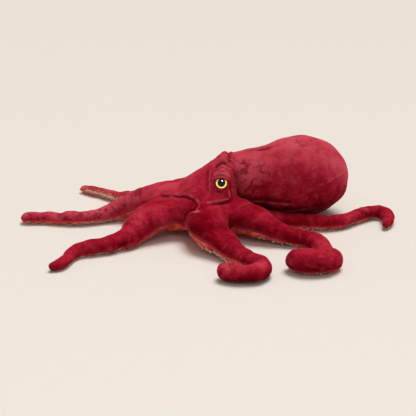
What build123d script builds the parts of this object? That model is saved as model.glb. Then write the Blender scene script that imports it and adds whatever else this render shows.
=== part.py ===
"""Plush octopus soft toy lying on its belly: eight stuffed arms, crown, mantle and two safety eyes.

Frame: the origin is the middle of the belly's flat rest face, +Z is up, +X runs towards the mantle's
end of the toy and the arms spread around Z.  The toy faces roughly -X, so its left side is towards -Y.
All lengths are in millimetres and all angles in degrees.
"""

import math
import os

from build123d import *

# ---- Driving dimensions -------------------------------------------------------------------------

cover_t = 1.5  # velour or satin with its backing
gap = 0.2  # room between a cover and the fibre filling, and across a side seam

# Crown: the tent-shaped middle that the eight arms are sewn around
crown_r = 62.0
skirt_z = 10.0  # the crown's lower edge, held off the floor by the arms
belly_r = 42.0  # flat rest face
head_centre = Vector(28, 12, 62)
# Rings of the crown, from its skirt up to the top of the head: height, half length along X, half
# width along Y, and centre.  The upper rings run on into the neck, where the mantle cuts them off.
crown_rings = [
    (skirt_z, crown_r, crown_r, 0, 0),
    (42, crown_r, crown_r, 0, 0),
    (52, 61, 57, 5, 2),
    (62, 58, 49, 18, 6),
    (75, 45, 44, 29, 9),
    (88, 33, 33, 39, 12),
    (97, 27, 20, 45, 14),
    (102, 20, 8, 47, 15),
]
crown_top_z = crown_rings[-1][0]

# Mantle: the egg-shaped body behind the head, turned about the line through the head's centre
mantle_azimuth = 15.5
mantle_dip = 2.2
neck_s = 27.0  # all distances from the head's centre along the mantle's line
neck_r = 37.0
shoulder_s = 65.0
shoulder_r = 51.0
widest_s = 104.0
widest_r = 57.6
pole_s = 178.0
neck_clearance = 1.0

# Safety eyes with round backs, posts and washers
eye_r = 8.0
eye_dome = 4.5
eye_back_t = 2.0
eye_seat = 0.7  # how deep the eye's back sits in the cover
eye_z = 74.0
eye_azimuth = 99.0  # around the crown's middle, to either side of the face's line
face_turn = -3.0  # the face's line, from +X
post_r = 2.2
post_length = 13.0
washer_r = 7.0
washer_t = 1.6
washer_depth = 8.0
eye_elevation = 24.0
lid_r = 3.0
lid_ring_r = 11.4

# Arms
hinge_r = 82.0  # circle on which the arms bend at their roots
arm_flatness = 1.12  # an arm's width over its height
floor_gap = 0.3
drop_length = 50.0  # over this length an arm comes down from the crown to the floor
knuckle_gap = 1.0
knuckle_steps = 4
tip_steps = 3

# Each arm: azimuth of its root; half heights at root, middle and tip; height of its root's centre;
# roll, which turns its underside to one side; which run ends at the middle hinge; and its runs, as
# (length, turn) from the root outwards, where a turn is positive to the left seen from above.
# The two arms under the mantle swing sideways at their roots, and the others lift.
arms = {
    "left_arm_1": dict(
        azimuth=211, sizes=(17, 11, 5.5), root_z=27, roll=0, hinge_run=4,
        runs=[
            (22, 7), (31, 16), (18, -6), (19, -16), (21, -14),
            (16, 5), (16, 27), (25, 30), (17, -26), (10, -54),
        ],
    ),
    "left_arm_2": dict(
        azimuth=268, sizes=(18, 12.5, 13), root_z=26, roll=-25, hinge_run=3,
        runs=[
            (24, 34), (22, 9), (25, -15), (24, 19), (21, -2),
            (14, -30), (14, -44), (14, -44), (16, -21), (24, -10),
        ],
    ),
    "left_arm_3": dict(
        azimuth=318, sizes=(16, 10.5, 13), root_z=24, roll=0, hinge_run=2,
        runs=[
            (33, 17), (28, 5), (24, -11), (30, -47), (22, -3),
            (18, 8), (14, -44), (14, -48), (18, -28), (20, -11),
        ],
    ),
    "left_arm_4": dict(
        azimuth=348, sizes=(12.5, 11, 7), root_z=15, roll=0, hinge_run=3, swings=True,
        runs=[
            (27, 6), (30, 8), (25, -3), (30, 24), (26, 17),
            (24, 3), (15, -34), (15, -58), (26, -42), (23, -10),
        ],
    ),
    "right_arm_1": dict(
        azimuth=170, sizes=(17, 10.5, 9.5), root_z=27, roll=0, hinge_run=3,
        runs=[(26, -15), (26, 34), (24, 25), (17, -8), (28, -25), (28, -13), (42, 12)],
    ),
    "right_arm_2": dict(
        azimuth=137, sizes=(16, 11, 7.5), root_z=24, roll=50, hinge_run=2,
        runs=[(40, 15), (41, 0), (33, -11), (32, 2), (9, 13)],
    ),
    "right_arm_3": dict(
        azimuth=100, sizes=(16, 11, 6), root_z=24, roll=0, hinge_run=3,
        runs=[(28, 4), (30, -14), (30, -22), (30, -16), (28, -14), (26, 10), (26, 16)],
    ),
    "right_arm_4": dict(
        azimuth=58, sizes=(13.5, 11.5, 6.5), root_z=15, roll=0, hinge_run=2, swings=True,
        runs=[(42, -6), (44, -20), (36, -14), (26, 10), (26, 18), (24, 10)],
    ),
}

os.makedirs("parts", exist_ok=True)


# ---- Crown --------------------------------------------------------------------------------------

mantle_dir = Vector(1, 0, 0).rotate(Axis.Y, mantle_dip).rotate(Axis.Z, mantle_azimuth)
side_dir = Vector(0, 0, 1).cross(mantle_dir).normalized()
mantle_plane = Plane(origin=head_centre, x_dir=mantle_dir, z_dir=-side_dir)
mantle_axis = Axis(head_centre, mantle_dir)


def crown_form(inset, mode=Mode.ADD):
    """The crown's tent and the head on top of it, taken in by an inset, down to the skirt."""
    rings = []
    for z, half_length, half_width, centre_x, centre_y in crown_rings:
        top_inset = inset * (z - skirt_z) / (crown_top_z - skirt_z)
        with BuildSketch(Plane(origin=(centre_x, centre_y, z - top_inset))) as ring:
            Ellipse(half_length - inset, half_width - inset)
        rings.append(ring.sketch)
    loft(rings, ruled=True, mode=mode)


def mantle_form(inset, mode=Mode.ADD):
    """The mantle's egg, taken in by an inset, open towards the neck."""
    with BuildSketch(mantle_plane) as profile:
        with BuildLine():
            neck = ThreePointArc(
                (neck_s, neck_r - inset), (shoulder_s, shoulder_r - inset), (widest_s, widest_r - inset)
            )
            end = EllipticalCenterArc(
                (widest_s, 0), pole_s - widest_s - inset, widest_r - inset, start_angle=0, arc_size=90
            )
            Polyline(neck @ 0, (neck_s, 0), end @ 0)
        make_face()
    revolve(profile.sketch, axis=mantle_axis, mode=mode)


def mantle_room():
    """Cuts the room that the mantle needs out of the crown, with clearance at the neck."""
    with BuildSketch(mantle_plane) as profile:
        with BuildLine():
            front_s = neck_s - neck_clearance + gap
            neck = ThreePointArc(
                (front_s, neck_r + neck_clearance),
                (shoulder_s, shoulder_r + neck_clearance),
                (widest_s, widest_r + neck_clearance),
            )
            Polyline(neck @ 1, (widest_s, 0), (front_s, 0), neck @ 0)
        make_face()
    revolve(profile.sketch, axis=mantle_axis, mode=Mode.SUBTRACT)
    # Above the neck's line nothing of the crown reaches over the mantle, which tips up there
    with BuildSketch(mantle_plane) as lift_room:
        with Locations((front_s + crown_r / 2, neck_r / 2 + crown_r / 2)):
            Rectangle(crown_r, crown_r)
    extrude(lift_room.sketch, amount=crown_r, both=True, mode=Mode.SUBTRACT)


def eye_plane(side, out):
    """Plane facing out of the head at an eye, at a distance from the crown's surface."""
    for lower, upper in zip(crown_rings, crown_rings[1:]):
        if upper[0] >= eye_z:
            break
    share = (eye_z - lower[0]) / (upper[0] - lower[0])
    half_length, half_width, centre_x, centre_y = [a + (b - a) * share for a, b in zip(lower[1:], upper[1:])]
    azimuth = math.radians(face_turn + side * eye_azimuth)
    rise = math.radians(eye_elevation)
    normal = Vector(math.cos(rise) * math.cos(azimuth), math.cos(rise) * math.sin(azimuth), math.sin(rise))
    across = Vector(0, 0, 1).cross(normal).normalized()
    seat = Vector(
        centre_x + half_length * math.cos(azimuth),
        centre_y + half_width * math.sin(azimuth),
        eye_z,
    )
    return Plane(origin=seat + normal * out, x_dir=across, z_dir=normal)


eye_sides = {"left": -1, "right": 1}
eye_base = -eye_seat

with BuildPart() as crown_cover:
    crown_form(0)
    crown_form(cover_t, Mode.SUBTRACT)
    mantle_room()
    for side in eye_sides.values():
        with BuildSketch(eye_plane(side, eye_base - gap)):
            Circle(eye_r + gap)
        extrude(amount=eye_r, mode=Mode.SUBTRACT)
        with BuildSketch(eye_plane(side, -post_length)):
            Circle(post_r + gap)
        extrude(amount=2 * post_length, mode=Mode.SUBTRACT)
crown_cover.part.label = "crown_cover"
export_step(crown_cover.part, "parts/crown_cover.step")

with BuildPart() as crown_fill:
    crown_form(cover_t + gap)
    mantle_room()
    for side in eye_sides.values():
        with BuildSketch(eye_plane(side, -post_length - 2 * cover_t)):
            Circle(eye_r + 2 * gap)
        extrude(amount=2 * post_length, mode=Mode.SUBTRACT)
crown_fill.part.label = "crown_fill"
export_step(crown_fill.part, "parts/crown_fill.step")

with BuildPart() as belly_panel:
    with BuildSketch(Plane.XZ):
        edge_z = skirt_z - cover_t - gap
        with BuildLine():
            Polyline(
                (0, 0),
                (belly_r, 0),
                (crown_r, edge_z),
                (crown_r, edge_z + cover_t),
                (belly_r - cover_t / 2, cover_t),
                (0, cover_t),
                (0, 0),
            )
        make_face()
    revolve(axis=Axis.Z)
belly_panel.part.label = "belly_panel"
export_step(belly_panel.part, "parts/belly_panel.step")

# ---- Mantle -------------------------------------------------------------------------------------

up_dir = mantle_plane.y_dir
for name, way in {"mantle_upper_cover": up_dir, "mantle_lower_cover": -up_dir}.items():
    half_plane = Plane(origin=head_centre, x_dir=mantle_dir, z_dir=way)
    with BuildPart() as mantle_cover:
        mantle_form(0)
        mantle_form(cover_t, Mode.SUBTRACT)
        split(bisect_by=half_plane.offset(gap / 2), keep=Keep.TOP)
    mantle_cover.part.label = name
    export_step(mantle_cover.part, f"parts/{name}.step")

with BuildPart() as mantle_fill:
    mantle_form(cover_t + gap)
mantle_fill.part.label = "mantle_fill"
export_step(mantle_fill.part, "parts/mantle_fill.step")

# ---- Eyes ---------------------------------------------------------------------------------------

for name, side in eye_sides.items():
    with BuildPart() as lens:
        dome_r = (eye_r**2 + eye_dome**2) / (2 * eye_dome)
        face_plane = eye_plane(side, eye_base + eye_back_t)
        with BuildSketch(Plane(origin=face_plane.origin, x_dir=face_plane.x_dir, z_dir=-face_plane.y_dir)):
            with BuildLine():
                top = ThreePointArc(
                    (0, eye_dome),
                    (eye_r / 2, math.sqrt(dome_r**2 - eye_r**2 / 4) - dome_r + eye_dome),
                    (eye_r, 0),
                )
                Polyline(top @ 1, (0, 0), top @ 0)
            make_face()
        revolve(axis=Axis(face_plane.origin, face_plane.z_dir))
    lens.part.label = f"{name}_eye_lens"
    export_step(lens.part, f"parts/{name}_eye_lens.step")

    with BuildPart() as eyelid:
        lid_plane = eye_plane(side, lid_r + 2 * gap)
        start = lid_plane.origin + lid_plane.x_dir * lid_ring_r
        with BuildSketch(Plane(origin=start, x_dir=lid_plane.x_dir, z_dir=-lid_plane.y_dir)):
            Circle(lid_r)
        revolve(axis=Axis(lid_plane.origin, lid_plane.z_dir), revolution_arc=180)
    eyelid.part.label = f"{name}_eyelid"
    export_step(eyelid.part, f"parts/{name}_eyelid.step")

with BuildPart() as eye_backs:
    for side in eye_sides.values():
        with BuildSketch(eye_plane(side, eye_base)):
            Circle(eye_r)
        extrude(amount=eye_back_t)
        with BuildSketch(eye_plane(side, eye_base)):
            Circle(post_r)
        extrude(amount=-post_length)
eye_backs.part.label = "eye_backs"
export_step(eye_backs.part, "parts/eye_backs.step")

with BuildPart() as eye_washers:
    for side in eye_sides.values():
        with BuildSketch(eye_plane(side, -washer_depth)):
            Circle(washer_r)
            Circle(post_r + gap / 2, mode=Mode.SUBTRACT)
        extrude(amount=washer_t)
eye_washers.part.label = "eye_washers"
export_step(eye_washers.part, "parts/eye_washers.step")


# ---- Arms ---------------------------------------------------------------------------------------


class Arm:
    """An arm's middle line: a hinge on the crown's circle, then runs and turns on the floor."""

    def __init__(self, azimuth, sizes, root_z, roll, hinge_run, runs, swings=False):
        heading = math.radians(azimuth)
        x = hinge_r * math.cos(heading)
        y = hinge_r * math.sin(heading)
        self.azimuth = azimuth
        self.sizes = sizes
        self.root_z = root_z
        self.roll = roll
        self.swings = swings
        self.points = [(0, x, y)]
        self.headings = [azimuth]
        course = azimuth
        travelled = 0
        for count, (length, turn) in enumerate(runs, 1):
            course += turn
            travelled += length
            x += length * math.cos(math.radians(course))
            y += length * math.sin(math.radians(course))
            self.points.append((travelled, x, y))
            next_turn = runs[count][1] if count < len(runs) else 0
            self.headings.append(course + next_turn / 2)
            if count == hinge_run:
                self.hinge_s = travelled
        self.length = travelled

    def half_height(self, s):
        root, middle, tip = self.sizes
        if s < self.hinge_s:
            share = max(s, 0) / self.hinge_s
            return root + (middle - root) * share**0.7
        return middle + (tip - middle) * (s - self.hinge_s) / (self.length - self.hinge_s)

    def place(self, s):
        """Middle point and heading at a distance along the arm, before the hinge too."""
        if s <= 0:
            _, x, y = self.points[0]
            heading = self.azimuth
            x += s * math.cos(math.radians(heading))
            y += s * math.sin(math.radians(heading))
        else:
            pairs = zip(self.points, self.points[1:], self.headings, self.headings[1:])
            for (s0, x0, y0), (s1, x1, y1), heading_0, heading_1 in pairs:
                share = (s - s0) / (s1 - s0)
                if share <= 1:
                    break
            x = x0 + (x1 - x0) * share
            y = y0 + (y1 - y0) * share
            heading = heading_0 + (heading_1 - heading_0) * share
        size = self.half_height(s)
        low = self.reach(size) + floor_gap
        share = min(max(s / drop_length, 0), 1)
        return x, y, low + (self.root_z - low) * (1 - share) ** 1.5, heading

    def reach(self, size):
        """How far a rolled section reaches below its middle."""
        turn = math.radians(self.roll)
        return math.hypot(size * math.cos(turn), size * arm_flatness * math.sin(turn))

    def station(self, s, wide=1.0, high=1.0):
        """Section plane, half width and half height at a distance along the arm."""
        x, y, z, heading = self.place(s)
        size = self.half_height(s)
        along = Vector(math.cos(math.radians(heading)), math.sin(math.radians(heading)), 0)
        left = Vector(-along.Y, along.X, 0)
        turn = math.radians(self.roll)
        across = left * math.cos(turn) + Vector(0, 0, 1) * math.sin(turn)
        section = Plane(origin=(x, y, z), x_dir=across, z_dir=along)
        return section, size * arm_flatness * wide, size * high

    def knuckle(self, hinge_s, upright):
        """Stations that round an arm's end about its hinge, which is upright or lies across it."""
        radius = self.half_height(hinge_s) * (arm_flatness if upright else 1)
        stations = []
        for step in range(knuckle_steps):
            angle = math.radians(75 * (1 - step / knuckle_steps))
            narrowed = {"wide" if upright else "high": math.cos(angle)}
            stations.append(self.station(hinge_s - radius * math.sin(angle), **narrowed))
        return stations

    def root_stations(self):
        """From the rounded knuckle inside the crown's edge to just before the middle hinge."""
        stations = self.knuckle(0, self.swings)
        tilt = abs(math.sin(math.radians(self.roll)))
        knuckle_r = self.half_height(self.hinge_s) * arm_flatness * (1 + tilt / 3)
        end = self.hinge_s - knuckle_r - knuckle_gap
        for s, _, _ in self.points:
            if s < end - 6:
                stations.append(self.station(s))
        stations.append(self.station(end))
        return stations

    def tip_stations(self):
        """From the knuckle at the middle hinge to the rounded tip."""
        stations = self.knuckle(self.hinge_s, True)
        tip_size = self.sizes[2]
        for s, _, _ in self.points:
            if self.hinge_s <= s < self.length - tip_size - 2:
                stations.append(self.station(s))
        for step in range(tip_steps + 1):
            angle = math.radians(68 * step / tip_steps)
            s = self.length - tip_size * (1 - math.sin(angle))
            stations.append(self.station(s, wide=math.cos(angle), high=math.cos(angle)))
        return stations


def panel(stations, first_angle):
    """A half tube of cover: 0 makes the top panel and 180 the underside."""
    shift = gap / 2 if first_angle == 0 else -gap / 2
    with BuildPart() as tube:
        for section, wide, high in stations:
            origin = section.origin + section.y_dir * shift
            with BuildSketch(Plane(origin=origin, x_dir=section.x_dir, z_dir=section.z_dir)):
                with BuildLine():
                    angles = dict(start_angle=first_angle, arc_size=180)
                    outer = EllipticalCenterArc((0, 0), wide, high - gap / 2, **angles)
                    inner = EllipticalCenterArc((0, 0), wide - cover_t, high - cover_t - gap / 2, **angles)
                    Line(outer @ 0, inner @ 0)
                    Line(outer @ 1, inner @ 1)
                make_face()
        loft(ruled=True)
    return tube.part


def filling(stations):
    """The fibre filling inside an arm's two panels."""
    inset = cover_t + gap
    with BuildPart() as core:
        for section, wide, high in stations:
            with BuildSketch(section):
                Ellipse(wide - inset, high - inset)
        loft(ruled=True)
    return core.part


for name, shape in arms.items():
    arm = Arm(**shape)
    segments = {"root": arm.root_stations(), "tip": arm.tip_stations()}
    for segment, stations in segments.items():
        pieces = {
            "cover": panel(stations, 0),
            "underside": panel(stations, 180),
            "fill": filling(stations),
        }
        for kind, piece in pieces.items():
            piece.label = f"{name}_{segment}_{kind}"
            export_step(piece, f"parts/{piece.label}.step")
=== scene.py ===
"""Plush octopus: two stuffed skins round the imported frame, cut into pieces where the joints bend."""

import math

import bpy
import numpy as np
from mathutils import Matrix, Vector
from mathutils.bvhtree import BVHTree


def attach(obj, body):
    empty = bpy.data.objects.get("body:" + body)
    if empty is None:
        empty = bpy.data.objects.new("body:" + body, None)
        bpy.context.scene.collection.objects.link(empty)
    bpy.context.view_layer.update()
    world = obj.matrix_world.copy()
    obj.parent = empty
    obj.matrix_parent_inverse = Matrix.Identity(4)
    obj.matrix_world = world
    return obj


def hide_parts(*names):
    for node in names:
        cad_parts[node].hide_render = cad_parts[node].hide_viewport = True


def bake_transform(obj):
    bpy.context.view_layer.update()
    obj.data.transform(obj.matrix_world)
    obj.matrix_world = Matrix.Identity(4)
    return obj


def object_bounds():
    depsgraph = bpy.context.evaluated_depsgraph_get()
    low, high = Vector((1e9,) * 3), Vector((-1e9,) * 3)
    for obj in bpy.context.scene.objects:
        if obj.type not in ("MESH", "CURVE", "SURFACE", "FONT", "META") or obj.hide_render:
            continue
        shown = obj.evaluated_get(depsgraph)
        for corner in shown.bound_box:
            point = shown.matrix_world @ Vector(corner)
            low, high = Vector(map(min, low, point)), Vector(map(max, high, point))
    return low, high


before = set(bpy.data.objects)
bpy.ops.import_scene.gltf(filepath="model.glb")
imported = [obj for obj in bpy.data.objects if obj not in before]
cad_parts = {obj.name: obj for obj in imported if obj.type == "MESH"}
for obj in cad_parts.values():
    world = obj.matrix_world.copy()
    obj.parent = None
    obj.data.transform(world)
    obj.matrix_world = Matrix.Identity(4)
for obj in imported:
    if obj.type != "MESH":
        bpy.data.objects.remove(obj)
cad_low, cad_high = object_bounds()

MM = 0.001

# ---- Shape of the toy, in millimetres in the row frame -------------------------------------------

HINGE_R = 82.0  # the arms' root hinges lie on this circle
FLOOR_GAP = 0.3
DROP = 55.0  # an arm comes down to the floor over this length
LINE_START, LINE_STEP = -42.0, 4.0  # an arm's middle line begins inside the crown
FAR = 1e3
HEAD = np.array([28.0, 12.0, 62.0])
MANTLE_AZ, MANTLE_DIP = math.radians(15.5), math.radians(2.2)
MANTLE_DIR = np.array(
    [
        math.cos(MANTLE_DIP) * math.cos(MANTLE_AZ),
        math.cos(MANTLE_DIP) * math.sin(MANTLE_AZ),
        -math.sin(MANTLE_DIP),
    ]
)

# Each arm follows its line in the CAD source closely: azimuth, runs of (length, turn), and which run
# ends at the middle hinge.  radii are half heights, widths are how much wider than high it is, and
# seam is how low the side seam lies, each at distances along the arm.  rolls turn the underside to one
# side at the root and at the tip.
ARMS = {
    "left_arm_1": dict(
        azimuth=211, hinge_run=4, rolls=(0, 0), root_z=29,
        runs=[
            (22, 7), (31, 16), (18, -6), (19, -16), (21, -14),
            (16, 5), (16, 27), (25, 30), (17, -26), (10, -54),
        ],
        radii=[(-32, 22), (0, 20), (30, 17), (60, 13.5), (90, 11.5), (140, 10), (178, 8), (195, 6)],
        widths=[(-32, 1.45), (0, 1.5), (35, 1.35), (70, 1.15), (195, 1.1)],
        seam=[(-20, -0.25), (25, -0.30), (60, -0.55), (195, -0.75)],
    ),
    "left_arm_2": dict(
        azimuth=268, hinge_run=3, rolls=(-22, -30), root_z=28,
        runs=[
            (24, 34), (22, 9), (25, -15), (24, 19), (21, -2),
            (14, -30), (14, -44), (14, -44), (16, -21), (22, -10),
        ],
        radii=[(-32, 21), (0, 20.5), (30, 18), (60, 14.5), (80, 13.5), (120, 13), (160, 13.5), (196, 12.5)],
        widths=[(-32, 1.3), (0, 1.4), (35, 1.35), (70, 1.2), (196, 1.15)],
        seam=[(-20, -0.50), (20, -0.58), (80, -0.60), (120, -0.62), (196, -0.75)],
    ),
    "left_arm_3": dict(
        azimuth=318, hinge_run=2, rolls=(0, 0), root_z=25,
        runs=[
            (35, 17), (30, 5), (26, -11), (30, -47), (20, -3),
            (18, 8), (14, -44), (14, -50), (17, -30), (17, -11),
        ],
        radii=[
            (-32, 20), (0, 18.5), (35, 14.5), (60, 12), (85, 12),
            (112, 12.5), (134, 12), (160, 14.5), (190, 16), (221, 14.5),
        ],
        widths=[(-32, 1.3), (0, 1.4), (35, 1.35), (70, 1.2), (221, 1.2)],
        seam=[(-20, -0.30), (20, -0.30), (60, -0.45), (110, -0.6), (221, -0.70)],
    ),
    "left_arm_4": dict(
        azimuth=348, hinge_run=3, rolls=(0, 0), root_z=16, low=True,
        runs=[
            (27, 6), (30, 8), (25, -3), (30, 24), (26, 17),
            (24, 3), (15, -34), (15, -58), (24, -42), (20, -10),
        ],
        radii=[(-32, 13), (0, 12.5), (45, 12), (82, 11.5), (160, 10.5), (205, 9), (236, 7.5)],
        widths=[(-32, 1.2), (236, 1.12)],
        seam=[(-20, -0.2), (60, -0.35), (150, -0.45), (236, -0.75)],
    ),
    "right_arm_1": dict(
        azimuth=170, hinge_run=3, rolls=(0, 0), root_z=31,
        runs=[(26, -15), (26, 34), (24, 25), (17, -8), (28, -25), (28, -13), (38, 12)],
        radii=[(-32, 23), (0, 20.5), (25, 18), (50, 14), (76, 11), (100, 10.5), (150, 9.5), (187, 9)],
        widths=[(-32, 1.3), (0, 1.3), (40, 1.2), (187, 1.12)],
        seam=[(-20, -0.3), (40, -0.22), (110, -0.20), (187, -0.30)],
    ),
    "right_arm_2": dict(
        azimuth=137, hinge_run=2, rolls=(20, 72), root_z=27,
        runs=[(40, 15), (41, 0), (33, -11), (30, 2), (6, 13)],
        radii=[(-32, 22), (0, 18), (45, 12), (81, 9), (150, 7)],
        widths=[(-32, 1.3), (0, 1.3), (50, 1.2), (150, 1.2)],
        seam=[(-20, -0.3), (60, -0.2), (150, -0.1)],
    ),
    "right_arm_3": dict(
        azimuth=100, hinge_run=3, rolls=(0, 0), root_z=26,
        runs=[(28, 4), (30, -14), (30, -22), (30, -16), (28, -14), (26, 10), (26, 16)],
        radii=[(-32, 22), (0, 19), (45, 14), (88, 11), (198, 6.5)],
        widths=[(-32, 1.3), (0, 1.35), (50, 1.2), (198, 1.12)],
        seam=[(-20, -0.3), (60, -0.45), (198, -0.6)],
    ),
    "right_arm_4": dict(
        azimuth=58, hinge_run=2, rolls=(0, 0), root_z=17, low=True,
        runs=[(42, -6), (44, -20), (36, -14), (26, 10), (26, 18), (24, 10)],
        radii=[(-32, 14), (0, 13.5), (45, 12.5), (86, 11.5), (198, 7)],
        widths=[(-32, 1.3), (0, 1.3), (50, 1.2), (198, 1.12)],
        seam=[(-20, -0.3), (60, -0.45), (198, -0.6)],
    ),
}

# Rings of the hood: the head and the tent that covers the arms' roots.
HOOD_RINGS = np.array(
    [
        (40, 59, 60, 0, 0),
        (46, 59, 60, 1, 0),
        (52, 58, 57, 5, 2),
        (62, 56, 49, 18, 6),
        (75, 44, 44, 29, 9),
        (88, 32, 33, 38, 12),
        (96, 26, 22, 44, 14),
        (101, 18, 9, 47, 15),
    ],
    float,
)
HOOD_BOTTOM = 46.0
NECK_PROFILE = [(-14, 33), (0, 36.5), (12, 38.5), (27, 40.5), (45, 43), (62, 48.8), (82, 55.3), (104, 57.6)]
WIDEST_S, WIDEST_R, POLE_S = 104.0, 57.6, 178.0
WEB_R = 66.0
BODY_CUT_R = 73.0  # the crown's skin meets an arm's skin here
CUT_HALF = 19.0
PITCH, MANTLE_PITCH, LID_PITCH = 3.0, 3.5, 0.9  # sizes of the meshes' squares
CORE_SEAM_Z = 12.8  # the crown's underside is satin below this
PRESSURE, CAP, FRAMES = 4.0, 2.5, 20  # stuffing, the furthest that it moves a point, and its steps
SWELL = 1.5  # the covers are cut this much small, and stuffing fills them out


def smin(a, b, k):
    h = np.clip(0.5 + 0.5 * (b - a) / k, 0, 1)
    return b * (1 - h) + a * h - k * h * (1 - h)


def smax(a, b, k):
    return -smin(-a, -b, k)


def bell(x):
    return np.exp(-(x**2))


def unit(v):
    return v / np.linalg.norm(v)


def upright(axis):
    """Directions to the right of an axis and up from it."""
    right = unit(np.cross([0, 0, 1.0], axis))
    return right, np.cross(axis, right)


def rounded(values, rounds):
    """Rounds off a row of values or points in place, apart from its ends."""
    for _ in range(rounds):
        values[1:-1] = 0.25 * values[:-2] + 0.5 * values[1:-1] + 0.25 * values[2:]
    return values


def eased(share, taper):
    """Rises smoothly from 0 at each end of a path to 1 over this share of its length."""
    ends = np.clip(np.minimum(share, 1 - share) / taper, 0, 1)
    return ends * ends * (3 - 2 * ends)


class Line:
    """An arm's middle line as close points, with radius, roll and heading at each."""

    def __init__(self, azimuth, hinge_run, rolls, root_z, runs, radii, widths, seam, low=False):
        self.azimuth = math.radians(azimuth)
        corners = [(0.0, HINGE_R * math.cos(self.azimuth), HINGE_R * math.sin(self.azimuth))]
        course, s = azimuth, 0.0
        for count, (length, turn) in enumerate(runs, 1):
            course += turn
            s += length
            _, x, y = corners[-1]
            way = math.radians(course)
            corners.append((s, x + length * math.cos(way), y + length * math.sin(way)))
            if count == hinge_run:
                self.hinge_s = s
                self.hinge_xy = np.array(corners[-1][1:])
                self.hinge_course = math.radians(course + (runs[count][1] / 2 if count < len(runs) else 0))
        self.length = s
        inner_r = HINGE_R + LINE_START
        corners.insert(0, (LINE_START, inner_r * math.cos(self.azimuth), inner_r * math.sin(self.azimuth)))
        corners = np.array(corners)
        self.s = np.arange(LINE_START, self.length + 0.1, LINE_STEP)
        x, y = (rounded(np.interp(self.s, corners[:, 0], corners[:, k]), 4) for k in (1, 2))
        self.h = rounded(np.interp(self.s, *np.array(radii, float).T), 3)
        self.w = np.interp(self.s, *np.array(widths, float).T)
        self.seam = np.interp(self.s, *np.array(seam, float).T)
        low_z = self.h + FLOOR_GAP - 0.6
        share = np.clip(self.s / DROP, 0, 1)
        z = low_z + (root_z - low_z) * (1 - share) ** 1.5
        z = np.where(self.s < 0, root_z - self.s * (0.0 if low else 0.12), z)
        self.p = np.stack([x, y, z], 1)
        self.end_s = self.length - self.h[-1] * 0.9
        heading = np.gradient(self.p[:, :2], axis=0)
        heading /= np.linalg.norm(heading, axis=1)[:, None]
        roll = np.radians(rolls[0] + (rolls[1] - rolls[0]) * np.clip(self.s / self.length, 0, 1))
        left = np.stack([-heading[:, 1], heading[:, 0], np.zeros(len(x))], 1)
        up = np.array([0, 0, 1.0])
        self.across = left * np.cos(roll)[:, None] + up * np.sin(roll)[:, None]
        self.top = up * np.cos(roll)[:, None] - left * np.sin(roll)[:, None]

    def field(self, points):
        """Distance to the arm's surface at points, and the distance along the arm."""
        best = np.full(len(points), FAR)
        at_s = np.zeros(len(points))
        last = np.searchsorted(self.s, self.end_s)
        for i in range(min(last, len(self.s) - 1)):
            a, b = self.p[i], self.p[i + 1]
            flat = self.w[i]
            reach = max(self.h[i], self.h[i + 1]) * flat + 16
            inside = (points > np.minimum(a, b) - reach) & (points < np.maximum(a, b) + reach)
            near = np.nonzero(np.all(inside, 1))[0]
            if not len(near):
                continue
            d = points[near] - a
            along = b - a
            t = np.clip(d @ along / (along @ along), 0, 1)
            rest = d - t[:, None] * along
            flat = flat + t * (self.w[i + 1] - flat)
            rest[:, 2] *= flat
            r = (self.h[i] + t * (self.h[i + 1] - self.h[i])) * flat
            gap = (np.sqrt((rest**2).sum(1)) - r) / np.sqrt(flat)
            closer = gap < best[near]
            best[near[closer]] = gap[closer]
            at_s[near[closer]] = self.s[i] + LINE_STEP * t[closer]
        return best, at_s

    def at(self, s):
        """Middle point, across, top and half height at distances along the arm."""
        s = np.atleast_1d(s)

        def pick(a):
            return np.stack([np.interp(s, self.s, a[:, k]) for k in range(3)], 1)

        numbers = (np.interp(s, self.s, a) for a in (self.h, self.w, self.seam))
        return pick(self.p), pick(self.across), pick(self.top), *numbers


LINES = {name: Line(**shape) for name, shape in ARMS.items()}


def hood_field(p):
    x, y, z = p.T
    rings = HOOD_RINGS
    a, b, cx, cy = (np.interp(z, rings[:, 0], rings[:, k]) for k in range(1, 5))
    rho = np.sqrt(((x - cx) / a) ** 2 + ((y - cy) / b) ** 2)
    d = (rho - 1) * np.minimum(a, b) * 0.8
    d = smax(d, z - 101.0, 8.0)
    d = smax(d, HOOD_BOTTOM - z, 5.0)
    # The cheeks end behind the eyes in an upright edge
    for side in (-1, 1):
        edge = np.array([32.0, 12.0 + side * 54.0, 62.0])
        outward = unit(np.array([0.93, side * 0.30, 0.22]))
        d = smax(d, (p - edge) @ outward, 3.0)
    return d


def core_field(p):
    q = (p - np.array([0, 0, 29.0])) / np.array([59.0, 59.0, 19.5])
    return (np.sqrt((q**2).sum(1)) - 1) * 19.5


def web_field(p):
    """The skirt of skin that joins the arms' roots, thin at its rim."""
    r = np.linalg.norm(p[:, :2], axis=1)
    top = np.interp(r, [40, 56, 66], [34, 30, 18.5])
    slab = np.maximum(p[:, 2] - top, 10.5 - p[:, 2]) * 0.85
    return smax(slab, r - WEB_R, 4.0)


def mantle_field(p):
    d = p - HEAD
    s = d @ MANTLE_DIR
    rest = d - s[:, None] * MANTLE_DIR
    r = np.sqrt((rest**2).sum(1))
    profile = np.array(NECK_PROFILE, float)
    target = np.interp(s, profile[:, 0], profile[:, 1])
    front = smax((r - target) * 0.92, -14 - s, 12.0)
    back = (np.sqrt(((s - WIDEST_S) / (POLE_S - WIDEST_S)) ** 2 + (r / WIDEST_R) ** 2) - 1) * WIDEST_R
    return np.where(s < WIDEST_S, front, back)


def skin_field(p):
    d = smin(core_field(p), web_field(p), 5.0)
    r = np.linalg.norm(p[:, :2], axis=1)
    spread = 7.0 + 11.0 * np.clip((80 - r) / 20, 0, 1)
    for line in LINES.values():
        arm, _ = line.field(p)
        d = smin(d, arm, spread)
    d = smin(d, hood_field(p), 3.0)
    return smax(d, FLOOR_GAP - p[:, 2], 1.5)


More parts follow.
